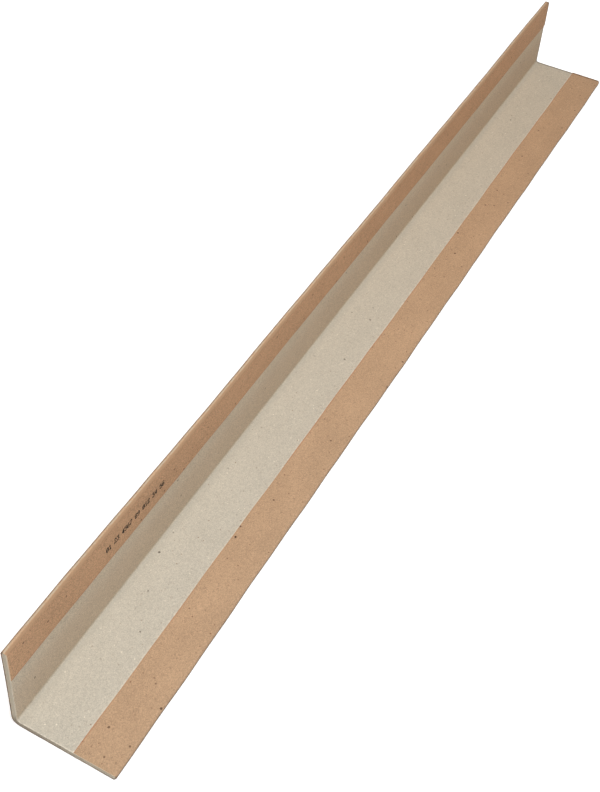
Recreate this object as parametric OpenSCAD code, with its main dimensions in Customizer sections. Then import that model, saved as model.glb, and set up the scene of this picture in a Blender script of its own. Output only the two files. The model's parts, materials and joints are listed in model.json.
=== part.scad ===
// Pallet edge protector: a pressed greyboard angle wrapped in one sheet of kraft liner.
// The section is drawn in a plane with its outside heel at [0, 0], the flat leg along +X and the
// upright along +Y, and is then swept along the length. The part lies on its flat leg, +Z up,
// with its origin at the middle of the floor under it and its length along Y.

/* [Angle] */
// Length of the protector
length = 600; // [150:10:2400]
// Width of the flat leg, outside heel to tip
flat_leg = 50; // [40:1:120]
// Height of the upright leg, outside heel to tip
upright_leg = 50; // [40:1:120]

/* [Greyboard] */
// Thickness of the pressed plies
board_t = 2.2; // [1.2:0.1:6]
// Radius of the fold on the inside
fold_r = 1.5; // [0.5:0.1:4]
// Rounding of the two long edges of the board
edge_r = 0.8; // [0.2:0.1:1]

/* [Kraft wrap] */
// Thickness of the kraft liner
wrap_t = 0.4; // [0.2:0.05:1]
// Width of the lip turned in over the flat leg
flat_lip = 20; // [8:0.5:25]
// Width of the lip turned in over the upright leg
upright_lip = 18; // [8:0.5:25]

/* [Hidden] */
$fn = 96;

// Radii round the fold's centre line: inside of the wrap, then outside of the wrap
board_heel_r = fold_r + board_t;
wrap_heel_r = board_heel_r + wrap_t;

// Heights above the floor: underside and top of the board, then top of the lip
board_low = wrap_t;
board_top = board_low + board_t;
lip_top = board_top + wrap_t;

// The board's edge rounding always leaves a flat in the middle of the edge
board_edge_r = min(edge_r, 0.45 * board_t);
wrap_edge_r = board_edge_r + wrap_t;

// How far a cutting shape runs past the stock that it cuts
overrun = 1;

greyboard = "#cbc3ae";
kraft = "#c3a07c";

// Bar from x = start to x = tip, between two heights, with both corners rounded at the tip
module round_tipped_bar(start, tip, low, high, r) {
    translate([start, low])
        square([tip - r - start, high - low]);
    translate([tip - r, low + r])
        square([r, high - low - 2 * r]);
    for (y = [low + r, high - r])
        translate([tip - r, y])
            circle(r);
}

// Quarter ring that carries a sheet round the heel, from one leg to the other
module heel_bend(outer_r, inner_r) {
    translate([wrap_heel_r, wrap_heel_r])
        intersection() {
            difference() {
                circle(outer_r);
                circle(inner_r);
            }
            translate([-outer_r, -outer_r])
                square(outer_r);
        }
}

// Turns a leg that is drawn along +X into one that stands along +Y
module stood_up() {
    mirror([1, -1])
        children();
}

// One leg of the greyboard, from the bend to its edge inside the wrap
module board_leg(leg, start = wrap_heel_r) {
    round_tipped_bar(start, leg - wrap_t, board_low, board_top, board_edge_r);
}

// One leg of the wrap: the outside sheet, the turn round the board's edge and the lip inside
module wrap_leg(leg, lip) {
    difference() {
        round_tipped_bar(wrap_heel_r, leg, 0, lip_top, wrap_edge_r);
        board_leg(leg, start = wrap_heel_r - overrun);
        translate([wrap_heel_r - overrun, board_top])
            square([leg - lip - wrap_heel_r + overrun, wrap_t + overrun]);
    }
}

module board_section() {
    heel_bend(board_heel_r, fold_r);
    board_leg(flat_leg);
    stood_up()
        board_leg(upright_leg);
}

module wrap_section() {
    heel_bend(wrap_heel_r, board_heel_r);
    wrap_leg(flat_leg, flat_lip);
    stood_up()
        wrap_leg(upright_leg, upright_lip);
}

// Sweeps a section along the length and lays the part over its origin
module swept() {
    translate([-flat_leg / 2, 0, 0])
        rotate([90, 0, 0])
            linear_extrude(length, center = true)
                children();
}

module greyboard_core() {
    color(greyboard)
        swept()
            board_section();
}

module kraft_wrap() {
    color(kraft)
        swept()
            wrap_section();
}

greyboard_core();
kraft_wrap();
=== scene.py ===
"""Pallet edge protector: a pressed greyboard angle in a kraft liner, lying on its flat leg.

The section is drawn in metres with its outside heel at (0, 0), the flat leg along +X and the upright
along +Z, and is carried along Y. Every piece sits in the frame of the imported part.
"""

import json
import math

import bpy
import numpy as np
from bpy.props import FloatProperty, FloatVectorProperty, IntProperty, PointerProperty, StringProperty
from mathutils import Matrix, Vector


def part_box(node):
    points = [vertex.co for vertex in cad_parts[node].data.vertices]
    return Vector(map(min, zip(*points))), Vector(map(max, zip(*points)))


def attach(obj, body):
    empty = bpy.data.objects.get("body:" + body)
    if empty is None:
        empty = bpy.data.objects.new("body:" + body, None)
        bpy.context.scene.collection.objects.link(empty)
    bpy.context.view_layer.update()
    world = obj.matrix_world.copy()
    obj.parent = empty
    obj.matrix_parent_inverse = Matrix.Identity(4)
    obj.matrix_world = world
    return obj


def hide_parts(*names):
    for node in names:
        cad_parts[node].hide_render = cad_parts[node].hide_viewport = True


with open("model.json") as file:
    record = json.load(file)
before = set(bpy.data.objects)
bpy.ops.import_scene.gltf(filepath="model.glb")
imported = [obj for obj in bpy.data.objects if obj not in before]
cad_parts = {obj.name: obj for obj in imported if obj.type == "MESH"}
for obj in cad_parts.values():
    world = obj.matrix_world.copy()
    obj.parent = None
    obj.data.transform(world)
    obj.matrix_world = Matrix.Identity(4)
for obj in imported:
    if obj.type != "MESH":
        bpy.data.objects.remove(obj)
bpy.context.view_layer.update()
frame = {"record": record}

bl_info = {
    "name": "Pallet Edge Protector",
    "version": (1, 0, 0),
    "blender": (4, 5, 0),
    "location": "View3D > Sidebar > Edge Protector",
    "description": "Builds a kraft-lined paperboard edge protector and a plain stage for it",
    "category": "Add Mesh",
}

MM = 0.001
QUARTER_TURN = math.pi / 2

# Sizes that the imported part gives
WRAP_LOW, WRAP_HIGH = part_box("kraft_wrap")
BOARD_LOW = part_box("greyboard_core")[0]
LIP_HEIGHT = next(m for m in frame["record"]["mounts"] if m["name"] == "load_face_flat")["pos_m"][2]
LINER_T = BOARD_LOW.z - WRAP_LOW.z

# The picture's longer side in pixels, and the width of film that Blender lays along it
PICTURE_HEIGHT = 792
FILM_WIDTH = 36.0

# Steps in the grid of a section: round an edge, across its flat, round the fold, along a lip or a leg
ROUND_STEPS = 8
EDGE_STEPS = 2
FOLD_STEPS = 12
LIP_STEPS = 18
LINER_LEG_STEPS = 24
BOARD_LEG_STEPS = 26
# Rows of points through a ply, as shares of its thickness
PLY_ROWS = (0.0, 0.14, 0.5, 0.86)
# Step between sections along the length, and closer places over a stretch at each end
SECTION_STEP = 3 * MM
END_STRETCH = 2 * MM
END_PLACES = (0.0, 0.2 * MM, 0.5 * MM, 0.9 * MM, 1.4 * MM)
# Faces that meet at more than this angle look sharp
SHARP_ANGLE = math.radians(40)

# Wave lengths of the two long edges, of the bow in the upright, of the cut of each lip, and of the
# cut ends of the liner and of the plies
TOP_WAVES = (0.211, 0.083, 0.031)
TIP_WAVES = (0.263, 0.097, 0.037)
BOW_WAVES = (0.41, 0.17)
FLAT_LIP_WAVES = (0.31, 0.12, 0.043)
UPRIGHT_LIP_WAVES = (0.27, 0.11, 0.039)
LINER_END_WAVES = (0.011, 0.0043, 0.0017)
PLY_END_WAVES = (0.0029, 0.0013)
# Width of the strip beside a lip's cut that wanders with it
LIP_ZONE = 8 * MM
# Lean of the upright at the far end, as a share of its lean at the near end
FAR_LEAN = 0.25

# What is left of red, green and blue at the far end, a painted warm tint of the light there, and how much
# paper shines
FAR_TINT = (1.0, 0.945, 0.89)
PAPER_SHINE = 0.22
# Half of the stretch over which the paper takes that painted tint, as a share of the length
TINT_REACH = 0.42
# Where the painted shade line at the far end starts and is full, measured from the cut
SHADE_START = 1.7 * MM
SHADE_FULL = 1.1 * MM
# Fineness of the noise that frays specks, and how far it pushes them
FRAY_GRAIN = 0.4 * MM
FRAY_REACH = 0.35 * MM
# The floor's glow at the foot of the soft lamp and far from it, and where it starts and stops growing
FOOT_GLOW = (0.6, 0.6, 0.6, 1.0)
FAR_GLOW = (0.98, 0.98, 0.98, 1.0)
GLOW_START = 0.5
GLOW_STOP = 2.2
# Floor below the part, and the farthest that the camera sees
FLOOR_DROP = 0.1 * MM
SIGHT = 100.0

# Dots of each digit on a coder's grid, one row of five dots to a word, from the top down
DIGIT_ROWS = (
    "01110 10001 10011 10101 11001 10001 01110",
    "00100 01100 00100 00100 00100 00100 01110",
    "01110 10001 00001 00110 01000 10000 11111",
    "11111 00010 00100 00010 00001 10001 01110",
    "00010 00110 01010 10010 11111 00010 00010",
    "11111 10000 11110 00001 00001 10001 01110",
    "00110 01000 10000 11110 10001 10001 01110",
    "11111 00001 00010 00100 01000 01000 01000",
    "01110 10001 10001 01110 10001 10001 01110",
    "01110 10001 10001 01111 00001 00010 01100",
)
# Columns from one digit to the next, and corners round each dot
DIGIT_STEP = 6
DOT_SIDES = 10
# Height of a dot's rim and peak over the paper; it ends as deep in the paper as its peak is high
DOT_RIM = 0.005 * MM
DOT_PEAK = 0.02 * MM
# Angles by which the sine that moves a dot goes on from column to column and from row to row
COLUMN_TURN = 12.9898
ROW_TURN = 78.233


def length_setting(name, description, default, least=0.0):
    """A length that a user can change."""
    return FloatProperty(name=name, description=description, default=default, min=least, unit="LENGTH")


def colour_setting(name, description, default):
    """A colour that a user can change, written as it looks on screen."""
    return FloatVectorProperty(
        name=name, description=description, default=default, subtype="COLOR_GAMMA", min=0, max=1)


class SectionSizes(bpy.types.PropertyGroup):
    """Sizes of the folded section and its length"""

    length: length_setting("Length", "Length of the protector", WRAP_HIGH.y - WRAP_LOW.y, 50 * MM)
    flat_leg: length_setting(
        "Flat leg", "Outside heel to tip of the leg on the floor", WRAP_HIGH.x - WRAP_LOW.x, 30 * MM)
    upright_leg: length_setting(
        "Upright leg", "Outside heel to tip of the leg that stands", WRAP_HIGH.z - WRAP_LOW.z, 30 * MM)
    liner: length_setting("Liner thickness", "Thickness of the kraft liner", LINER_T, 0.1 * MM)
    board: length_setting(
        "Board thickness", "Thickness of the pressed greyboard", LIP_HEIGHT - 2 * LINER_T, 1 * MM)
    fold_radius: length_setting("Fold radius", "Radius of the fold on the inside", 1.5 * MM, 0.3 * MM)
    edge_radius: length_setting("Edge radius", "Rounding of the board's long edges", 0.8 * MM, 0.2 * MM)
    flat_lip: length_setting("Flat lip", "Width of the liner turned in over the flat leg", 20 * MM, 5 * MM)
    upright_lip: length_setting(
        "Upright lip", "Width of the liner turned in over the upright", 18 * MM, 5 * MM)


class HandlingMarks(bpy.types.PropertyGroup):
    """How far the pressed board strays from a straight and square bar"""

    edge_wave: length_setting("Edge wave", "Most that the long edges waver", 0.25 * MM)
    lip_wander: length_setting("Lip wander", "Most that the cut of each lip wanders", 0.22 * MM)
    near_flare: length_setting("Near flare", "Lean of the upright's top at the near end", 0.9 * MM)
    cut_relief: length_setting(
        "Cut relief", "Depth of the steps between plies at the cut ends", 0.14 * MM)
    tip_wear: length_setting(
        "Tip wear", "Rounding of the flat leg's two corners at the cut ends", 1.3 * MM, 0.1 * MM)
    top_wear: length_setting(
        "Top wear", "Rounding of the upright's two corners at the cut ends", 0.6 * MM, 0.1 * MM)
    plies: IntProperty(
        name="Plies", description="Plies that show at the cut ends", default=6, min=2, max=16)


class Finishes(bpy.types.PropertyGroup):
    """Colours as they look on screen"""

    kraft: colour_setting("Kraft", "Kraft liner", (0.748, 0.621, 0.499))
    # Kraft of the upright: a warmer copy of the kraft, painted warm light in the upright's shade
    upright_kraft_warm_shade: colour_setting("Upright kraft", "Kraft liner of the upright", (0.780, 0.628, 0.494))
    grey: colour_setting("Grey", "Pressed grey board of the flat leg", (0.781, 0.752, 0.692))
    # Board of the upright: a warmer copy of the grey, painted warm light in the upright's shade by the
    # fold
    warm_shade_grey: colour_setting("Warm grey", "Pressed grey board of the upright", (0.805, 0.737, 0.648))
    # Paler copy of the upright's board by its lip, painted light there; also the colour of the plies on
    # the cuts
    cool_grey: colour_setting(
        "Cool grey", "Pressed grey board of the upright, beside its lip", (0.822, 0.774, 0.692))
    brown_speck: colour_setting("Brown speck", "Brown specks in board and liner", (0.50, 0.36, 0.26))
    dark_speck: colour_setting("Dark speck", "Dark specks in the board", (0.24, 0.17, 0.13))
    # Pale worn colour of the liner, also used as a painted highlight along the top edge and on the near
    # cut
    rubbed_and_highlit: colour_setting("Rubbed", "Liner rubbed pale along its top edge", (0.755, 0.675, 0.575))
    # Dark brown of painted shade on the liner's outer edges: the top edge's outer arc, below the flat tip,
    # the outside sheet's near cut and the far end
    shade_painted: colour_setting("Soiled", "Liner soiled along its outer edges", (0.46, 0.32, 0.19))
    lip_cut: colour_setting(
        "Lip cut", "Reddish cut of each lip and, darker, of the liner's dark specks", (0.72, 0.50, 0.38))
    ink: colour_setting("Ink", "Coder's ink", (0.04, 0.028, 0.024))
    floor: colour_setting("Floor", "Floor of the stage", (0.86, 0.86, 0.86))


class InkLine(bpy.types.PropertyGroup):
    """A row of plain digits, dotted on by a coder"""

    text: StringProperty(
        name="Digits", description="Digits and spaces", default="01 23 4567 89 012 34 56")
    start: length_setting("Start", "Start of the row, from the near end", 65 * MM)
    drop: length_setting("Drop", "Top edge of the upright down to the top of the digits", 8.8 * MM)
    column: length_setting("Column", "Distance between columns of dots", 0.32 * MM)
    row: length_setting("Row", "Distance between rows of dots", 0.41 * MM)
    dot: length_setting("Dot", "Radius of a dot", 0.32 * MM)


class StageSettings(bpy.types.PropertyGroup):
    """Camera and light"""

    camera_place: FloatVectorProperty(
        name="Camera", description="Place of the camera", default=(0.1790, -0.5034, 0.4838),
        subtype="TRANSLATION", unit="LENGTH")
    azimuth: FloatProperty(
        name="Azimuth", description="Turn of the camera from +Y", default=math.radians(24.76),
        subtype="ANGLE")
    elevation: FloatProperty(
        name="Elevation", description="Tilt of the camera below the horizon",
        default=math.radians(41.58), subtype="ANGLE")
    roll: FloatProperty(
        name="Roll", description="Turn of the camera on its own line of sight",
        default=math.radians(5.14), subtype="ANGLE")
    focal_pixels: FloatProperty(
        name="Focal length", description="Focal length in pixels of the picture", default=1297.8,
        subtype="PIXEL")
    axis_row: FloatProperty(
        name="Axis row", description="Pixel row of the picture that the line of sight meets",
        default=293.0, subtype="PIXEL")
    floor_size: length_setting("Floor size", "Side of the floor", 30.0)
    lamp_place: FloatVectorProperty(
        name="Lamp", description="Place of the soft lamp, which points straight down",
        default=(0.40, -0.36, 1.30), subtype="TRANSLATION", unit="LENGTH")
    lamp_size: length_setting("Lamp size", "Side of the soft lamp", 0.9)
    lamp_power: FloatProperty(
        name="Lamp power", description="Power of the soft lamp", default=17.8, unit="POWER")
    end_lamp_place: FloatVectorProperty(
        name="End lamps",
        description="Place of the weak lamp beyond the far end, mirrored at the near end",
        default=(0.0, 1.60, 0.10), subtype="TRANSLATION", unit="LENGTH")
    end_lamp_size: length_setting("End lamp size", "Side of the end lamps", 0.16)
    end_lamp_power: FloatProperty(
        name="End lamp power", description="Power of each end lamp", default=6.0, unit="POWER")
    back_lamp_place: FloatVectorProperty(
        name="Back lamp", description="Place of the weak lamp behind the upright",
        default=(-1.20, 0.0, 0.60), subtype="TRANSLATION", unit="LENGTH")
    back_lamp_size: length_setting("Back lamp size", "Side of the back lamp", 0.5)
    back_lamp_power: FloatProperty(
        name="Back lamp power", description="Power of the back lamp", default=5.0, unit="POWER")
    sky: FloatProperty(
        name="Sky", description="Strength of the even light from all round", default=0.14)
    sky_colour: FloatVectorProperty(
        name="Sky colour", description="Colour of the even light", subtype="COLOR",
        default=(1.0, 0.93, 0.85), min=0, max=1)


class ProtectorSettings(bpy.types.PropertyGroup):
    """All settings of the edge protector"""

    size: PointerProperty(type=SectionSizes)
    marks: PointerProperty(type=HandlingMarks)
    finish: PointerProperty(type=Finishes)
    ink: PointerProperty(type=InkLine)
    stage: PointerProperty(type=StageSettings)


def smooth_step(value, low, high):
    """0 at low, 1 at high, and 3t^2 - 2t^3 between them, where t runs evenly from 0 to 1."""
    t = np.clip((value - low) / (high - low), 0, 1)
    return t * t * (3 - 2 * t)


def wavering(distance, wave_lengths, phase):
    """Mean of one sine for each wave length, each started at its own multiple of the phase."""
    lengths = np.asarray(wave_lengths)
    starts = phase * np.arange(1, len(lengths) + 1)
    return np.sin(2 * np.pi * distance[..., None] / lengths + starts).mean(axis=-1)


def even_steps(count):
    """Shares from 0 to 1 in even steps."""
    return np.linspace(0, 1, count + 1)


def round_in(count):
    """Shares 1 - cos(a) for a from 0 to a quarter turn: even steps round a corner, seen side on."""
    return 1 - np.cos(np.linspace(0, QUARTER_TURN, count + 1))


def bent_line(start, heading, stretches):
    """Points and left-hand normals along a line of straights and arcs, and how far along each point is.

    A stretch is (length, turn, shares). The heading changes evenly by turn over its length, so the
    points at the shares of the length lie on a straight if turn is 0, and else on a circle of radius
    length / turn.
    """
    place = np.array(start, float)
    run = 0.0
    points, normals, distances = [], [], []
    for length, turn, shares in stretches:
        angle = heading + turn * shares
        if turn:
            radius = length / turn
            path = radius * np.stack(
                [np.sin(angle) - math.sin(heading), math.cos(heading) - np.cos(angle)], -1)
        else:
            path = length * shares[:, None] * np.array([math.cos(heading), math.sin(heading)])
        points.append(place + path)
        normals.append(np.stack([-np.sin(angle), np.cos(angle)], -1))
        distances.append(run + length * shares)
        place = place + path[-1]
        heading = heading + turn
        run += length
    keep = np.concatenate([np.arange(len(p)) > 0 for p in points])
    keep[0] = True
    return np.concatenate(points)[keep], np.concatenate(normals)[keep], np.concatenate(distances)[keep]


def liner_line(size):
    """Board side of the liner's section, from the cut of the flat lip to the cut of the upright lip.

    It runs along the flat leg to its tip, turns round the board's edge, goes back along the underside,
    bends up round the heel, and turns over the top edge to come down the inside of the upright. All its
    turns are right turns.
    """
    heel = size.fold_radius + size.board
    heel_outside = heel + size.liner
    edge_turn = (size.edge_radius * QUARTER_TURN, -QUARTER_TURN, even_steps(ROUND_STEPS))
    edge_flat = (size.board - 2 * size.edge_radius, 0, even_steps(EDGE_STEPS))
    off_tip = size.liner + size.edge_radius
    return bent_line(
        (size.flat_leg - size.flat_lip, size.liner + size.board), 0.0,
        [
            (size.flat_lip - off_tip, 0, even_steps(LIP_STEPS)),
            edge_turn, edge_flat, edge_turn,
            (size.flat_leg - off_tip - heel_outside, 0, even_steps(LINER_LEG_STEPS)),
            (heel * QUARTER_TURN, -QUARTER_TURN, even_steps(FOLD_STEPS)),
            (size.upright_leg - off_tip - heel_outside, 0, even_steps(LINER_LEG_STEPS)),
            edge_turn, edge_flat, edge_turn,
            (size.upright_lip - off_tip, 0, even_steps(LIP_STEPS)),
        ])


def liner_landmarks(size):
    """Distances along the liner's line to the middle of its tip, heel and top edge, and its length."""
    off_tip = size.liner + size.edge_radius
    over_edge = 2 * size.edge_radius * QUARTER_TURN + size.board - 2 * size.edge_radius
    heel = size.fold_radius + size.board
    off_leg = off_tip + heel + size.liner
    tip = size.flat_lip - off_tip + over_edge / 2
    heel_middle = tip + over_edge / 2 + size.flat_leg - off_leg + heel * QUARTER_TURN / 2
    top = heel_middle + heel * QUARTER_TURN / 2 + size.upright_leg - off_leg + over_edge / 2
    return tip, heel_middle, top, top + over_edge / 2 + size.upright_lip - off_tip


def board_grid(size, plies):
    """Section of the board as a grid: along the L from tip to tip, and across it from the outside in.

    A grid point lies on the board's outside, moved inwards by a share of the thickness. Within the edge
    radius of a tip the shares close up to follow the two rounded corners, so the plies are pressed
    together there. Each ply has rows close to its two sides, so that its cut end can be stepped.
    """
    heel = size.fold_radius + size.board
    off_tip = size.liner
    tip = size.edge_radius
    start = (size.flat_leg - off_tip, size.liner)
    leg_rest = off_tip + tip + heel + size.liner
    outside, normals, run = bent_line(
        start, math.pi,
        [
            (tip, 0, round_in(ROUND_STEPS)),
            (size.flat_leg - leg_rest, 0, even_steps(BOARD_LEG_STEPS)),
            (heel * QUARTER_TURN, -QUARTER_TURN, even_steps(FOLD_STEPS)),
            (size.upright_leg - leg_rest, 0, even_steps(BOARD_LEG_STEPS)),
            (tip, 0, 1 - round_in(ROUND_STEPS)[::-1]),
        ])
    to_tip = np.clip(np.minimum(run, run[-1] - run), 0, tip)
    inset = (tip - np.sqrt(tip ** 2 - (tip - to_tip) ** 2)) / size.board
    depth = np.append((np.arange(plies)[:, None] + np.array(PLY_ROWS)) / plies, 1.0)
    share = inset[:, None] + depth * (1 - 2 * inset[:, None])
    return outside[:, None] - size.board * share[..., None] * normals[:, None], run, depth


def handled(points, settings):
    """Points moved as pressing and handling leave the board.

    The long edges waver across their leg, most at the tip and not at all below half of the leg. The
    upright bows along its length and leans outwards near both ends, by the square of its height. Within
    the wear of a tip the cut ends draw back to a quarter circle of that radius, and the draw dies away
    over twice the wear along the length.
    """
    size, marks = settings.size, settings.marks
    x, y, z = points[..., 0], points[..., 1], points[..., 2]
    height = z / size.upright_leg
    reach = (x - WRAP_LOW.x) / size.flat_leg
    near = smooth_step(-y / size.length, 0.25, 0.5)
    far = smooth_step(y / size.length, 0.3, 0.5)
    top_wave = wavering(y, TOP_WAVES, phase=1.3)
    tip_wave = wavering(y, TIP_WAVES, phase=2.1)
    bow = wavering(y, BOW_WAVES, phase=0.6)
    moved = np.array(points)
    lean = marks.near_flare * (near + FAR_LEAN * far) - marks.edge_wave * bow
    moved[..., 0] -= lean * height ** 2
    moved[..., 0] += marks.edge_wave * tip_wave * smooth_step(reach, 0.5, 1)
    moved[..., 2] += marks.edge_wave * top_wave * smooth_step(height, 0.5, 1)
    end = size.length / 2
    to_top, to_tip = (1 - height) * size.upright_leg, (1 - reach) * size.flat_leg
    for apart, wear in ((to_top, marks.top_wear), (to_tip, marks.tip_wear)):
        within = 1 - np.clip(apart / wear, 0, 1)
        drawn = wear * (1 - np.sqrt(1 - within ** 2)) * smooth_step(np.abs(y), end - 2 * wear, end)
        moved[..., 1] -= np.sign(y) * drawn
    return moved


def placed(section, y):
    """Section points carried to their places along the length: X and Z from the section, Y as given."""
    y = np.broadcast_to(y, section.shape[:-1])
    return np.stack([section[..., 0] + WRAP_LOW.x, y, section[..., 1] + WRAP_LOW.z], -1)


def stations(length):
    """Places along the length: even steps, with closer ones at both ends."""
    half = length / 2
    inner = np.linspace(-half + END_STRETCH, half - END_STRETCH, int(length / SECTION_STEP))
    close = np.array(END_PLACES)
    return np.concatenate([-half + close, inner, half - close[::-1]])


def ring_quads(rings, count):
    """Faces between neighbouring rings of count points each, closed round the ring."""
    ring, point = np.meshgrid(np.arange(rings - 1), np.arange(count), indexing="ij")
    here = ring * count + point
    there = ring * count + (point + 1) % count
    return np.stack([here, there, there + count, here + count], -1).reshape(-1, 4)


def grid_quads(index):
    """Faces of a grid whose points have the given indices."""
    corners = [index[:-1, :-1], index[1:, :-1], index[1:, 1:], index[:-1, 1:]]
    return np.stack(corners, -1).reshape(-1, 4)


def add_piece(name, points, faces, material):
    """A mesh object at the origin with smooth faces, sharp only where they meet at a clear angle."""
    mesh = bpy.data.meshes.new(name)
    mesh.from_pydata(points.reshape(-1, 3), [], faces.tolist())
    mesh.polygons.foreach_set("use_smooth", np.ones(len(mesh.polygons), bool))
    mesh.set_sharp_from_angle(angle=SHARP_ANGLE)
    mesh.materials.append(material)
    mesh.validate()
    piece = bpy.data.objects.new(name, mesh)
    bpy.context.scene.collection.objects.link(piece)
    return piece


def add_attribute(piece, name, domain, values):
    """A number for each point or face of a piece, for its material to read."""
    attribute = piece.data.attributes.new(name, "FLOAT", domain)
    attribute.data.foreach_set("value", values.astype(np.float32))


def liner_mesh(settings):
    """Points and faces of the kraft liner, and each point's distance along its line.

    The section is the board side of the liner and the same line moved out by its thickness. It is
    carried along the length and closed by two cut ends, which are a little uneven along the section. The
    cut of each lip wanders along the length.
    """
    size, marks = settings.size, settings.marks
    inside, normals, run = liner_line(size)
    outside = inside + size.liner * normals
    section = np.concatenate([outside, inside[::-1]])
    run = np.concatenate([run, run[::-1]])
    y = stations(size.length)
    points = placed(np.broadcast_to(section, (len(y), *section.shape)), y[:, None])
    flat_share = 1 - smooth_step(run, 0, LIP_ZONE)
    upright_share = smooth_step(run, run.max() - LIP_ZONE, run.max())
    flat_wave = wavering(y, FLAT_LIP_WAVES, phase=0.9)
    upright_wave = wavering(y, UPRIGHT_LIP_WAVES, phase=2.7)
    points[..., 0] += marks.lip_wander * np.outer(flat_wave, flat_share)
    points[..., 2] += marks.lip_wander * np.outer(upright_wave, upright_share)
    uneven = 0.3 * marks.cut_relief * (1 + wavering(run, LINER_END_WAVES, phase=1.7))
    points[0, :, 1] += uneven
    points[-1, :, 1] -= uneven
    count = len(section)
    half = len(inside)
    across = np.stack([np.arange(half), count - 1 - np.arange(half)], -1)
    near_cut = grid_quads(across)
    far_cut = grid_quads(across[:, ::-1] + (len(y) - 1) * count)
    faces = np.concatenate([ring_quads(len(y), count), near_cut, far_cut])
    return handled(points, settings), faces, np.tile(run, len(y))


def board_mesh(settings):
    """Points and faces of the greyboard, the ply depth of each point and a mark on faces of the cut ends.

    The rim of the section grid is carried along the length and the whole grid closes both ends. At the
    ends each ply is cut back by its own slowly changing depth, by a little fuzz, and by a groove between
    plies, which grows with the sixth power of the distance from the ply's middle.
    """
    size, marks = settings.size, settings.marks
    grid, run, depth = board_grid(size, marks.plies)
    along, across = grid.shape[:2]
    index = np.arange(along * across).reshape(along, across)
    rim = np.concatenate([index[:, 0], index[-1, 1:], index[-2::-1, -1], index[0, -2:0:-1]])
    y = stations(size.length)
    flat_grid = grid.reshape(-1, 2)
    tube = placed(np.broadcast_to(flat_grid[rim], (len(y), len(rim), 2)), y[:, None])

    ply = np.minimum((depth * marks.plies + 1e-6).astype(int), marks.plies - 1)
    step = 0.5 + 0.5 * np.sin(run[:, None] / (4 * MM) * (1 + 0.23 * ply) + 2.4 * ply)
    groove = np.abs(2 * (depth * marks.plies - ply) - 1) ** 6
    fuzz = wavering(run[:, None] + 0.7 * MM * ply, PLY_END_WAVES, phase=0.8)
    cut = marks.cut_relief * (0.55 * step + 0.6 * groove + 0.2 * (1 + fuzz)).reshape(-1)
    tube[0, :, 1] += cut[rim]
    tube[-1, :, 1] -= cut[rim]

    core = index[1:-1, 1:-1].reshape(-1)
    half = size.length / 2
    near_core = placed(flat_grid[core], -half + cut[core])
    far_core = placed(flat_grid[core], half - cut[core])
    points = np.concatenate([tube.reshape(-1, 3), near_core, far_core])
    tube_count = len(y) * len(rim)
    near_index, far_index = np.empty(along * across, int), np.empty(along * across, int)
    near_index[rim] = np.arange(len(rim))
    far_index[rim] = np.arange(len(rim)) + tube_count - len(rim)
    near_index[core] = np.arange(len(core)) + tube_count
    far_index[core] = near_index[core] + len(core)
    near_cut = grid_quads(near_index.reshape(along, across))[:, ::-1]
    far_cut = grid_quads(far_index.reshape(along, across))
    walls = ring_quads(len(y), len(rim))
    faces = np.concatenate([walls, near_cut, far_cut])

    ply_depth = np.tile(depth, along)
    depths = np.concatenate([np.tile(ply_depth[rim], len(y)), ply_depth[core], ply_depth[core]])
    on_cut = np.arange(len(faces)) >= len(walls)
    return handled(points, settings), faces, depths, on_cut


def ink_mesh(settings):
    """Points and faces of the ink, each dot a ring of points between a peak and a foot in the paper.

    A digit reads from the near end to the far end. A dot strays from its grid by a sine of its place, and
    its radius wavers round it.
    """
    size, ink = settings.size, settings.ink
    columns, rows = [], []
    for place, letter in enumerate(ink.text):
        if letter != " ":
            lines = DIGIT_ROWS[int(letter)].split()
            row, column = np.nonzero([[mark == "1" for mark in line] for line in lines])
            rows.append(row)
            columns.append(column + place * DIGIT_STEP)
    row, column = np.concatenate(rows), np.concatenate(columns)
    stray = np.sin(COLUMN_TURN * column + ROW_TURN * row)
    y = WRAP_LOW.y + ink.start + ink.column * (column + 0.2 * stray)
    z = size.upright_leg - ink.drop - ink.row * (row + 0.12 * np.cos(41 * stray))
    face_x = WRAP_LOW.x + size.liner * 2 + size.board
    angle = np.linspace(0, 2 * np.pi, DOT_SIDES, endpoint=False)
    stray = stray[:, None]
    radius = ink.dot * (1 + 0.15 * stray + 0.1 * np.sin(3 * angle + 5 * stray))
    rim = np.stack([
        np.broadcast_to(face_x + DOT_RIM, radius.shape), y[:, None] + radius * np.cos(angle),
        z[:, None] + radius * np.sin(angle)], -1)
    ends = np.stack([
        np.stack([np.full(len(y), face_x + rise), y, z], -1) for rise in (DOT_PEAK, -DOT_PEAK)], 1)
    points = np.concatenate([rim, ends], 1)
    here = np.arange(DOT_SIDES)
    following = (here + 1) % DOT_SIDES
    over = np.stack([here, following, np.full(DOT_SIDES, DOT_SIDES)], -1)
    under = np.stack([following, here, np.full(DOT_SIDES, DOT_SIDES + 1)], -1)
    lens = np.concatenate([over, under])
    faces = (np.arange(len(y))[:, None, None] * (DOT_SIDES + 2) + lens).reshape(-1, 3)
    return handled(points, settings), faces


class Value:
    """A number, colour or vector that varies over a surface. Arithmetic on numbers adds Math nodes."""

    def __init__(self, shader, socket):
        self.shader = shader
        self.socket = socket

    def __add__(self, other):
        return self.shader.math("ADD", self, other)

    def __sub__(self, other):
        return self.shader.math("SUBTRACT", self, other)

    def __rsub__(self, other):
        return self.shader.math("SUBTRACT", other, self)

    def __mul__(self, other):
        return self.shader.math("MULTIPLY", self, other)

    def __abs__(self):
        return self.shader.math("ABSOLUTE", self)

    __radd__ = __add__
    __rmul__ = __mul__


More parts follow.
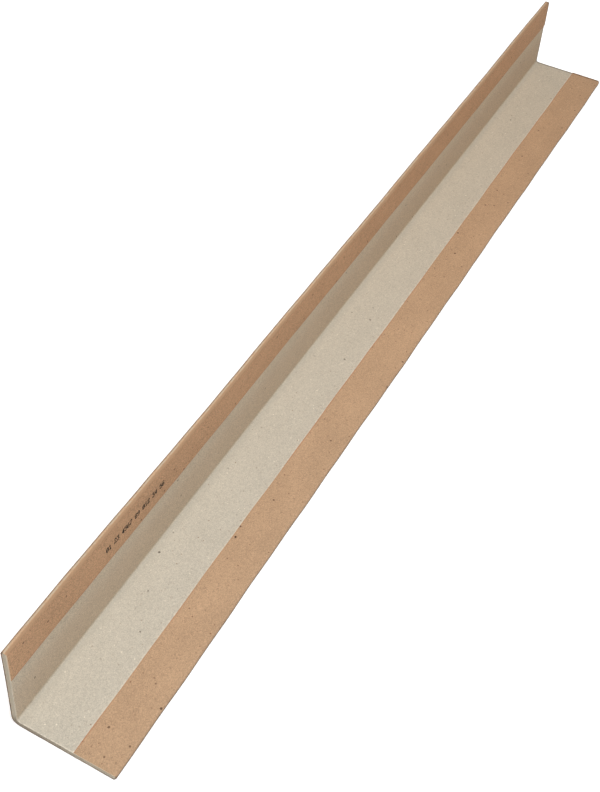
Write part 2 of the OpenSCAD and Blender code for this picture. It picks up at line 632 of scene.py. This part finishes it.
class Shader:
    """The nodes of one material or world"""

    def __init__(self, owner):
        owner.use_nodes = True
        self.tree = owner.node_tree
        self.tree.nodes.clear()

    def node(self, kind, settings=None, inputs=None, output=None):
        """Adds a node with its settings, fills or links sockets by identifier, and returns one output."""
        made = self.tree.nodes.new(kind)
        for name, setting in (settings or {}).items():
            setattr(made, name, setting)
        sockets = {socket.identifier: socket for socket in made.inputs}
        for name, value in (inputs or {}).items():
            if isinstance(value, Value):
                self.tree.links.new(value.socket, sockets[name])
            else:
                sockets[name].default_value = value
        outputs = {socket.identifier: socket for socket in made.outputs}
        if not outputs:
            return None
        return Value(self, outputs[output] if output else made.outputs[0])

    def math(self, operation, first, second=0.0):
        """One operation on numbers or values."""
        return self.node("ShaderNodeMath", {"operation": operation}, {"Value": first, "Value_001": second})

    def mix(self, first, second, share):
        """The first colour, going over to the second where share is 1."""
        return self.node(
            "ShaderNodeMix", {"data_type": "RGBA", "clamp_factor": True},
            {"Factor_Float": share, "A_Color": first, "B_Color": second}, "Result_Color")

    def laid(self, under, colour, where, gain=1.0, share=1.0):
        """What is under it, going over by a share to a screen colour times a gain where the mask is 1."""
        return self.mix(under, linear(colour, gain), share * where)

    def layered(self, under, layers):
        """Layers laid in order, each a screen colour, the mask where it lies, its gain and its share."""
        for layer in layers:
            under = self.laid(under, *layer)
        return under

    def step(self, value, low, high):
        """0 where value is at low and 1 where it is at high, smooth between; low may be the larger."""
        return self.node(
            "ShaderNodeMapRange", {"interpolation_type": "SMOOTHSTEP"},
            {"Value": value, "From Min": low, "From Max": high})

    def band(self, value, start, full, fading, end):
        """Rises from 0 at start to 1 at full and falls from 1 at fading to 0 at end, in millimetres."""
        return self.step(value, start * MM, full * MM) * self.step(value, end * MM, fading * MM)

    def place(self):
        """Where a point of the surface lies in its object."""
        return self.node("ShaderNodeTexCoord", output="Object")

    def attribute(self, name):
        """A number that the mesh holds under this name."""
        return self.node("ShaderNodeAttribute", {"attribute_name": name}, output="Fac")

    def parts(self, place):
        """The three coordinates of a place."""
        return [self.node("ShaderNodeSeparateXYZ", None, {"Vector": place}, axis) for axis in "XYZ"]

    def scaled(self, place, grain, stretch=1.0, turn=0.0, shift=0.0):
        """Coordinates in which a grain of this size is 1 long, drawn out along the length and turned."""
        size = (1 / grain, 1 / (grain * stretch), 1 / grain)
        turned = self.node(
            "ShaderNodeMapping", None,
            {"Vector": place, "Location": (shift * grain,) * 3, "Rotation": (turn, 0.0, turn)})
        return self.node("ShaderNodeMapping", None, {"Vector": turned, "Scale": size})

    def noise(
            self, place, grain, stretch=1.0, turn=0.0, shift=0.0, detail=2.0, roughness=0.5, output="Fac"):
        """Noise about 0.5, with its grain scaled as above; its Color output is three noises in one."""
        where = self.scaled(place, grain, stretch, turn, shift)
        return self.node(
            "ShaderNodeTexNoise", {"noise_dimensions": "3D"},
            {"Vector": where, "Scale": 1.0, "Detail": detail, "Roughness": roughness}, output)

    def ragged(self, place):
        """Coordinates pushed about by a fine noise, so that round marks come out ragged."""
        push = self.noise(place, FRAY_GRAIN, detail=1.0, output="Color")
        centred = self.node(
            "ShaderNodeVectorMath", {"operation": "SUBTRACT"}, {"Vector": push, "Vector_001": (0.5,) * 3})
        return self.node(
            "ShaderNodeVectorMath", {"operation": "MULTIPLY_ADD"},
            {"Vector": centred, "Vector_001": (FRAY_REACH,) * 3, "Vector_002": place})

    def specks(self, place, cell, radius, shift):
        """Up to 1 inside scattered ragged balls, where the surface cuts through them.

        There is one ball to a cell of the given size, and its strength is a random number from 0.3 to 1.
        """
        where = self.scaled(place, cell, shift=shift)
        apart, random = (
            self.node(
                "ShaderNodeTexVoronoi", {"voronoi_dimensions": "3D", "feature": "F1"},
                {"Vector": where, "Scale": 1.0}, output)
            for output in ("Distance", "Color"))
        strength = 0.3 + 0.7 * self.parts(random)[0]
        return self.step(apart, radius / cell, 0.6 * radius / cell) * strength

    def hairs(self, place, grain, stretch, turn, shift, width):
        """1 along short curved lines, where a drawn-out noise crosses its middle and another allows it."""
        ridge = self.noise(place, grain, stretch, turn, shift, detail=1.0)
        gate = self.noise(place, 1.6 * grain, stretch=1.3, shift=shift + 7.0, detail=1.0)
        return self.step(abs(ridge - 0.5), width, 0.35 * width) * self.step(gate, 0.56, 0.62)

    def painted_far_warm_light(self, colour, along, reach):
        """The colour, with a little less green and blue the nearer it lies to the far end: a painted warm
        tint of the light.
        """
        warm_lit = self.node(
            "ShaderNodeVectorMath", {"operation": "MULTIPLY"}, {"Vector": colour, "Vector_001": FAR_TINT})
        return self.mix(colour, warm_lit, self.step(along, -reach, reach))

    def paper(self, colour, roughness, height, depth):
        """A matt paper surface from a colour, a roughness and a height of the given depth."""
        normal = self.node("ShaderNodeBump", None, {"Strength": 1.0, "Distance": depth, "Height": height})
        surface = self.node(
            "ShaderNodeBsdfPrincipled", None,
            {"Base Color": colour, "Roughness": roughness, "Normal": normal,
             "Specular IOR Level": PAPER_SHINE})
        self.node("ShaderNodeOutputMaterial", None, {"Surface": surface})


def linear(colour, gain=1.0):
    """Linear colour with full alpha for a colour that is written as it looks on screen, times a gain."""
    shown = np.asarray(colour, float)
    light = np.where(shown <= 0.04045, shown / 12.92, ((shown + 0.055) / 1.055) ** 2.4)
    return (*np.clip(gain * light, 0, 1).tolist(), 1.0)


def kraft_finish(settings):
    """Brown kraft liner: drawn-out fibres, hairs, a few specks, worn edges with painted highlight and
    shade, a warmer copy on the upright that is painted warm shade light, and a painted warm tint towards
    the far end.
    """
    material = bpy.data.materials.new("kraft_liner")
    shader = Shader(material)
    size, finish = settings.size, settings.finish
    kraft, upright_kraft_warm_shade = finish.kraft, finish.upright_kraft_warm_shade
    place = shader.place()
    _, y, z = shader.parts(place)
    ragged = shader.ragged(place)
    cloud = shader.noise(place, 14 * MM, stretch=2.0)
    fibre = shader.noise(place, 0.4 * MM, stretch=2.4, turn=0.15, detail=3.0, roughness=0.65)
    crossed = shader.noise(place, 0.5 * MM, stretch=1.6, turn=-0.6, shift=3.0, roughness=0.6)
    grain = shader.noise(place, 0.33 * MM, roughness=0.6)
    patch = shader.noise(place, 1.6 * MM, stretch=2.2, shift=37.0)
    upright = shader.step(z, 0.2 * size.upright_leg, 0.5 * size.upright_leg)
    mottle = 1.6 * (fibre - 0.5) + 1.4 * (crossed - 0.5) + 1.4 * (grain - 0.5)
    tone = 0.5 + 0.55 * (cloud - 0.5) + mottle * (1 + 0.8 * upright)
    # The upright takes the warmer copy of the kraft, painted warm light in its shade
    dull, pale = (
        shader.mix(linear(kraft, gain), linear(upright_kraft_warm_shade, gain), upright) for gain in (0.76, 1.24))
    # Painted warm tint of the light towards the far end
    colour = shader.painted_far_warm_light(shader.mix(dull, pale, tone), y, TINT_REACH * size.length)
    pale_hair = shader.hairs(place, 1.7 * MM, stretch=2.4, turn=0.5, shift=11.0, width=0.02)
    dark_hair = shader.hairs(place, 1.5 * MM, stretch=2.2, turn=-0.6, shift=23.0, width=0.018)
    brown_speck = shader.specks(ragged, cell=4.0 * MM, radius=0.46 * MM, shift=5.0)
    dark_speck = shader.specks(ragged, cell=6.5 * MM, radius=0.70 * MM, shift=13.0)
    colour = shader.layered(colour, (
        (kraft, pale_hair, 1.32, 0.5),
        (kraft, dark_hair, 0.55, 0.65),
        (finish.brown_speck, brown_speck, 1.0, 0.9),
        (finish.lip_cut, dark_speck, 0.15),
    ))
    colour = kraft_edges(shader, settings, colour, y, cloud, fibre, crossed, patch)
    roughness = 0.84 + 0.2 * (grain - 0.5) - 0.1 * pale_hair
    height = 0.6 * fibre + 0.5 * grain + 0.4 * crossed + 0.3 * pale_hair
    shader.paper(colour, roughness, height, 0.05 * MM)
    return material


def kraft_edges(shader, settings, colour, y, cloud, fibre, crossed, patch):
    """The liner's colour with worn edges and painted highlight and shade, by distance along the sheet and
    the length.

    The top edge is worn pale in patches, partly a painted highlight, with a painted shade line outside and
    a painted shade band inside. The flat tip has painted shade below its rounding, the cut of each lip is
    reddish and the heel is a little worn pale. At the near cut the outside sheet has painted shade and the
    rest a painted highlight, and the far end has a painted shade line.
    """
    finish = settings.finish
    tip, heel, top, width = liner_landmarks(settings.size)
    half_length = 0.5 * settings.size.length
    broken = 0.35 * MM * (fibre - 0.5) + 0.25 * MM * (crossed - 0.5)
    run = shader.attribute("sheet_run")
    past_tip, past_top = run - tip + broken, run - top + broken
    to_lip_cut = shader.math("MINIMUM", run, width - run)
    patched = 0.35 + 0.75 * shader.step(patch, 0.42, 0.56)
    # Worn pale in patches along the top edge, partly a painted highlight
    rubbed_and_highlit_top = shader.band(past_top, -1.7, -1.2, 0.0, 0.5) * patched
    # Painted shade on the inner side of the top edge's rounding
    shade_painted_inner_top = shader.band(past_top, 0.1, 0.6, 1.0, 2.0)
    rubbed_heel = shader.step(abs(run - heel + 2 * broken), 2.8 * MM, 1.4 * MM)
    clouded = 0.35 + 0.65 * shader.step(cloud, 0.42, 0.58)
    red_cut = shader.step(to_lip_cut, 0.75 * MM, 0.3 * MM) * clouded
    # Painted shade on the top edge's outer arc and below the flat tip's rounding
    shade_painted_top = shader.band(past_top, -2.0, -1.5, -0.65, -0.4)
    shade_painted_tip = shader.band(past_tip, -0.35, -0.1, 1.4, 2.2)
    outside = shader.step(past_tip, 0.0, 0.4 * MM) * shader.step(past_top, 0.0, -0.4 * MM)
    near_cut = shader.step(y + half_length, 0.25 * MM, 0.1 * MM)
    dashed = 0.65 + 0.35 * shader.step(crossed, 0.42, 0.55)
    # Painted shade line along the far end
    far_shade_line = shader.step(y + broken, half_length - SHADE_START, half_length - SHADE_FULL)
    return shader.layered(colour, (
        # Worn pale top edge, partly a painted highlight
        (finish.rubbed_and_highlit, rubbed_and_highlit_top, 1.05, 0.95),
        # Painted shade on the inner side of the top edge's rounding
        (finish.upright_kraft_warm_shade, shade_painted_inner_top, 0.74, 0.85),
        (finish.rubbed_and_highlit, rubbed_heel, 1.0, 0.3),
        (finish.lip_cut, red_cut, 1.0, 0.6),
        # Painted highlight on the near cut, except on the outside sheet
        (finish.rubbed_and_highlit, near_cut * (1 - outside), 1.2, 0.9),
        # Painted shade lines on the top edge's outer arc and below the flat tip
        (finish.shade_painted, shade_painted_top, 0.8, 0.8),
        (finish.shade_painted, shade_painted_tip, 0.65, 0.9),
        # Painted shade on the outside sheet's near cut
        (finish.shade_painted, near_cut * outside * dashed, 0.35, 0.95),
        # Painted shade line along the far end
        (finish.shade_painted, far_shade_line, 0.9, 0.85),
    ))


def greyboard_finish(settings):
    """Recycled grey board: fine pulp, dark, brown and white specks, loose fibres, and plies on the cuts.

    The upright has painted shade: warm by the fold and paler by its lip. The board takes a painted warm
    tint towards the far end.
    """
    material = bpy.data.materials.new("greyboard")
    shader = Shader(material)
    size, finish = settings.size, settings.finish
    grey, warm, cool = finish.grey, finish.warm_shade_grey, finish.cool_grey
    place = shader.place()
    x, y, z = shader.parts(place)
    board_top = size.liner + size.board
    ragged = shader.ragged(place)
    cloud = shader.noise(place, 9 * MM, stretch=1.6)
    clot = shader.noise(place, 1.1 * MM, stretch=1.4, turn=0.2, roughness=0.6)
    grain = shader.noise(place, 0.45 * MM, stretch=1.3, roughness=0.6)
    pulp = shader.noise(place, 0.3 * MM, stretch=1.6, turn=-0.4, shift=5.0, detail=1.0)
    upright = shader.step(z, board_top, 2 * board_top)
    by_lip = shader.step(z, 0.35 * size.upright_leg, size.upright_leg - size.upright_lip)
    fine = 1.9 * (grain - 0.5) + 1.5 * (pulp - 0.5)
    tone = 0.5 + 0.35 * (cloud - 0.5) + 0.9 * (clot - 0.5) + fine * (1 + 0.7 * upright)
    # The upright takes painted shade: the warm copy by the fold, going over to the paler copy by its lip
    dull, pale = (
        shader.mix(linear(grey, gain), shader.mix(linear(warm, gain), linear(cool, gain), by_lip), upright)
        for gain in (0.83, 1.17))
    # Painted warm tint of the light towards the far end
    colour = shader.painted_far_warm_light(shader.mix(dull, pale, tone), y, TINT_REACH * size.length)
    pale_hair = shader.hairs(place, 1.7 * MM, stretch=1.8, turn=0.6, shift=31.0, width=0.018)
    dark_hair = shader.hairs(place, 1.5 * MM, stretch=1.8, turn=-0.7, shift=43.0, width=0.016)
    white_speck = shader.specks(ragged, cell=3.8 * MM, radius=0.40 * MM, shift=9.0)
    brown_speck = shader.specks(ragged, cell=3.9 * MM, radius=0.40 * MM, shift=17.0)
    dark_speck = shader.specks(ragged, cell=9.0 * MM, radius=0.70 * MM, shift=29.0)
    colour = shader.layered(colour, (
        (grey, pale_hair, 1.35, 0.45),
        (finish.brown_speck, dark_hair, 1.0, 0.3),
        (grey, white_speck, 1.55, 0.9),
        (finish.brown_speck, brown_speck, 1.0, 0.75),
        (finish.dark_speck, dark_speck, 1.0, 0.9),
    ))
    colour = greyboard_edges(shader, settings, colour, x, y, z, clot)
    cut = greyboard_cut(shader, settings, x, z, clot, grain)
    colour = shader.mix(colour, cut, 0.95 * shader.attribute("cut_end"))
    roughness = 0.9 + 0.15 * (grain - 0.5)
    height = 0.5 * clot + 0.7 * grain + 0.3 * pulp + 0.3 * pale_hair
    shader.paper(colour, roughness, height, 0.06 * MM)
    return material


def greyboard_edges(shader, settings, colour, x, y, z, clot):
    """The board's colour: pale beside each lip, a painted highlight at the near cut, painted shade by the
    fold and far end.
    """
    size, finish = settings.size, settings.finish
    half, half_length = 0.5 * size.flat_leg, 0.5 * size.length
    flat_lip, upright_lip = half - size.flat_lip, size.upright_leg - size.upright_lip
    board_top = size.liner + size.board
    fold = board_top - half
    beside_flat_lip = shader.step(x, flat_lip - 1.1 * MM, flat_lip - 0.3 * MM)
    beside_upright_lip = shader.step(z, upright_lip - 1.4 * MM, upright_lip - 0.3 * MM)
    beside_lip = shader.math("MAXIMUM", beside_flat_lip, beside_upright_lip)
    on_flat = shader.step(z, board_top + 0.6 * MM, board_top + 0.1 * MM)
    # Painted shade on the flat leg beside the fold
    painted_fold_shade = shader.step(x, fold + 5 * MM, fold + 1 * MM) * on_flat
    # Painted highlight along the near cut
    painted_near_highlight = shader.step(y + half_length, 0.8 * MM, 0.4 * MM) * shader.step(clot, 0.42, 0.55)
    # Painted shade line along the board's far end
    far_shade_line = shader.step(y, half_length - SHADE_START, half_length - SHADE_FULL)
    return shader.layered(colour, (
        # Painted shade by the fold
        (finish.grey, painted_fold_shade, 0.78, 0.4),
        (finish.grey, beside_lip * shader.step(clot, 0.25, 0.7), 1.4, 0.5),
        # Painted highlight along the near cut
        (finish.grey, painted_near_highlight, 1.4, 0.7),
        # Painted shade line along the far end
        (finish.warm_shade_grey, far_shade_line, 0.3, 0.8),
    ))


def greyboard_cut(shader, settings, x, z, clot, grain):
    """Colour of the cut ends: a dark streak to each ply, a painted highlight inside, darker along the flat
    leg.

    The darkening is strongest by the heel and gone near the tip.
    """
    size, finish = settings.size, settings.finish
    cool = finish.cool_grey
    depth = shader.attribute("ply_depth")
    wave = shader.math("SINE", settings.marks.plies * 2 * math.pi * depth + 1.2 * (clot - 0.5))
    reach = (x + 0.5 * size.flat_leg) * (1 / size.flat_leg)
    low = shader.step(z, 8 * MM, 2 * MM)
    # Darker low on the flat leg's cut, most by the heel and gone towards the tip
    darker_low = low * (1 - 1.15 * reach) * (0.65 + 0.35 * shader.step(clot, 0.4, 0.58))
    plies = shader.mix(linear(cool, 0.76), linear(cool, 0.58), shader.step(wave, 0.2, 0.95))
    return shader.layered(plies, (
        (cool, shader.step(grain, 0.55, 0.75), 1.0, 0.7),
        (finish.warm_shade_grey, darker_low, 0.32, 0.95),
        # Painted highlight along the inner edge of the cut
        (finish.grey, shader.step(depth, 0.82, 0.97) * (1 - 0.6 * low), 1.15, 0.75),
    ))


def ink_finish(settings):
    """Dark coder's ink, soaked into the paper unevenly."""
    material = bpy.data.materials.new("coder_ink")
    shader = Shader(material)
    ink, kraft = settings.finish.ink, settings.finish.kraft
    place = shader.place()
    soak = shader.noise(place, 0.5 * MM, stretch=1.5)
    colour = shader.mix(linear(ink), linear(kraft, 0.45), 0.1 * shader.step(soak, 0.5, 0.75))
    shader.paper(colour, 0.7 + 0.2 * (soak - 0.5), soak, 0.02 * MM)
    return material


def floor_finish(settings):
    """A pale floor that looks white to the camera and to reflections, and still takes the shadow.

    Its glow, which only those rays see, grows with the distance from the foot of the soft lamp, as the
    lamp's light falls off.
    """
    material = bpy.data.materials.new("stage_floor")
    shader = Shader(material)
    lamp_x, lamp_y, _ = settings.stage.lamp_place
    away = shader.node(
        "ShaderNodeVectorMath", {"operation": "DISTANCE"},
        {"Vector": shader.place(), "Vector_001": (lamp_x, lamp_y, 0.0)}, "Value")
    glow = shader.mix(FOOT_GLOW, FAR_GLOW, shader.step(away, GLOW_START, GLOW_STOP))
    glow = shader.mix((0.0, 0.0, 0.0, 1.0), glow, seen_directly(shader))
    surface = shader.node(
        "ShaderNodeBsdfPrincipled", None,
        {"Base Color": linear(settings.finish.floor), "Roughness": 0.9, "Specular IOR Level": 0.0,
         "Emission Color": glow, "Emission Strength": 1.0})
    shader.node("ShaderNodeOutputMaterial", None, {"Surface": surface})
    return material


def seen_directly(shader):
    """1 for rays from the camera, off gloss and through glass, and 0 for light on the object."""
    camera, glossy, through = (
        shader.node("ShaderNodeLightPath", output=f"Is {ray} Ray")
        for ray in ("Camera", "Glossy", "Transmission"))
    return shader.math("MAXIMUM", shader.math("MAXIMUM", camera, glossy), through)


class EDGEPROTECTOR_OT_add_kraft_wrap(bpy.types.Operator):
    """Add the kraft liner that is folded round the board"""

    bl_idname = "edge_protector.add_kraft_wrap"
    bl_label = "Kraft Wrap"

    def execute(self, context):
        settings = context.scene.edge_protector
        points, faces, run = liner_mesh(settings)
        piece = add_piece("kraft_liner", points, faces, kraft_finish(settings))
        add_attribute(piece, "sheet_run", "POINT", run)
        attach(piece, "root")
        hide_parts("kraft_wrap")
        return {"FINISHED"}


class EDGEPROTECTOR_OT_add_greyboard(bpy.types.Operator):
    """Add the pressed greyboard angle with its cut plies"""

    bl_idname = "edge_protector.add_greyboard"
    bl_label = "Greyboard"

    def execute(self, context):
        settings = context.scene.edge_protector
        points, faces, depths, on_cut = board_mesh(settings)
        piece = add_piece("greyboard_angle", points, faces, greyboard_finish(settings))
        add_attribute(piece, "ply_depth", "POINT", depths)
        add_attribute(piece, "cut_end", "FACE", on_cut)
        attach(piece, "root")
        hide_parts("greyboard_core")
        return {"FINISHED"}


class EDGEPROTECTOR_OT_add_ink_line(bpy.types.Operator):
    """Add the dotted row of plain digits on the upright's lip"""

    bl_idname = "edge_protector.add_ink_line"
    bl_label = "Ink Line"

    def execute(self, context):
        settings = context.scene.edge_protector
        points, faces = ink_mesh(settings)
        piece = add_piece("ink_digits", points, faces, ink_finish(settings))
        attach(piece, "root")
        return {"FINISHED"}


class EDGEPROTECTOR_OT_add_stage(bpy.types.Operator):
    """Add the floor, the light and the camera"""

    bl_idname = "edge_protector.add_stage"
    bl_label = "Stage"

    def execute(self, context):
        settings = context.scene.edge_protector
        add_floor(settings)
        add_light(context.scene, settings)
        add_camera(context.scene, settings.stage)
        context.scene.view_settings.view_transform = "Standard"
        return {"FINISHED"}


def add_floor(settings):
    """A square of floor a hair below the part."""
    reach = np.array([-0.5, 0.5]) * settings.stage.floor_size
    x, y = np.meshgrid(reach, reach, indexing="ij")
    points = np.stack([x, y, np.full_like(x, -FLOOR_DROP)], -1)
    floor = add_piece("floor", points, grid_quads(np.arange(4).reshape(2, 2)), floor_finish(settings))


def add_light(scene, settings):
    """Even light from all round, which the camera sees as white, a soft lamp above and three weak ones.

    The weak lamps light what the soft lamp leaves dark: the two cut ends and the outside of the upright.
    """
    stage = settings.stage
    world = bpy.data.worlds.new("studio")
    shader = Shader(world)
    lit = tuple(stage.sky * part for part in stage.sky_colour)
    colour = shader.mix((*lit, 1.0), (1.0, 1.0, 1.0, 1.0), seen_directly(shader))
    sky = shader.node("ShaderNodeBackground", None, {"Color": colour, "Strength": 1.0})
    shader.node("ShaderNodeOutputWorld", None, {"Surface": sky})
    scene.world = world
    above, beyond, behind = (Vector(place) for place in (
        stage.lamp_place, stage.end_lamp_place, stage.back_lamp_place))
    before = beyond * Vector((1.0, -1.0, 1.0))
    along = Vector((0.0, beyond.y, 0.0))
    add_lamp(scene, "soft_lamp", above, Vector((0.0, 0.0, -1.0)), stage.lamp_size, stage.lamp_power)
    add_lamp(scene, "near_end_lamp", before, along, stage.end_lamp_size, stage.end_lamp_power)
    add_lamp(scene, "far_end_lamp", beyond, -along, stage.end_lamp_size, stage.end_lamp_power)
    add_lamp(scene, "back_lamp", behind, -behind, stage.back_lamp_size, stage.back_lamp_power)


def add_lamp(scene, name, place, heading, side, power):
    """A white square lamp that shines along a heading, and that the camera doesn't see."""
    lamp = bpy.data.lights.new(name, "AREA")
    lamp.shape = "SQUARE"
    lamp.size = side
    lamp.energy = power
    holder = bpy.data.objects.new(name, lamp)
    holder.location = place
    holder.rotation_euler = heading.to_track_quat("-Z", "Y").to_euler()
    holder.visible_camera = False
    scene.collection.objects.link(holder)


def add_camera(scene, stage):
    """The camera, turned from +Y by its azimuth, tilted down by its elevation and rolled on its axis."""
    back = Vector((
        math.sin(stage.azimuth) * math.cos(stage.elevation),
        -math.cos(stage.azimuth) * math.cos(stage.elevation),
        math.sin(stage.elevation)))
    data = bpy.data.cameras.new("camera")
    data.sensor_width = FILM_WIDTH
    data.lens = stage.focal_pixels * FILM_WIDTH / PICTURE_HEIGHT
    data.shift_y = (stage.axis_row - PICTURE_HEIGHT / 2) / PICTURE_HEIGHT
    data.clip_end = SIGHT
    camera = bpy.data.objects.new("camera", data)
    turn = (-back).to_track_quat("-Z", "Y").to_matrix().to_4x4() @ Matrix.Rotation(stage.roll, 4, "Z")
    camera.matrix_world = Matrix.Translation(stage.camera_place) @ turn
    scene.collection.objects.link(camera)
    scene.camera = camera


class EDGEPROTECTOR_PT_sidebar(bpy.types.Panel):
    """Sizes, finishes and the pieces of the edge protector"""

    bl_label = "Edge Protector"
    bl_space_type = "VIEW_3D"
    bl_region_type = "UI"
    bl_category = "Edge Protector"

    def draw(self, context):
        settings = context.scene.edge_protector
        for group in (settings.size, settings.marks, settings.finish, settings.ink, settings.stage):
            box = self.layout.box()
            for name in group.__annotations__:
                box.prop(group, name)
        for operator in PIECES:
            self.layout.operator(operator.bl_idname)


PIECES = (
    EDGEPROTECTOR_OT_add_stage,
    EDGEPROTECTOR_OT_add_greyboard,
    EDGEPROTECTOR_OT_add_kraft_wrap,
    EDGEPROTECTOR_OT_add_ink_line,
)
CLASSES = (
    SectionSizes, HandlingMarks, Finishes, InkLine, StageSettings, ProtectorSettings,
    *PIECES, EDGEPROTECTOR_PT_sidebar,
)


def register():
    for cls in CLASSES:
        bpy.utils.register_class(cls)
    bpy.types.Scene.edge_protector = PointerProperty(type=ProtectorSettings)


def unregister():
    del bpy.types.Scene.edge_protector
    for cls in reversed(CLASSES):
        bpy.utils.unregister_class(cls)


def main():
    register()
    bpy.ops.edge_protector.add_stage()
    bpy.ops.edge_protector.add_greyboard()
    bpy.ops.edge_protector.add_kraft_wrap()
    bpy.ops.edge_protector.add_ink_line()


if __name__ == "__main__":
    main()
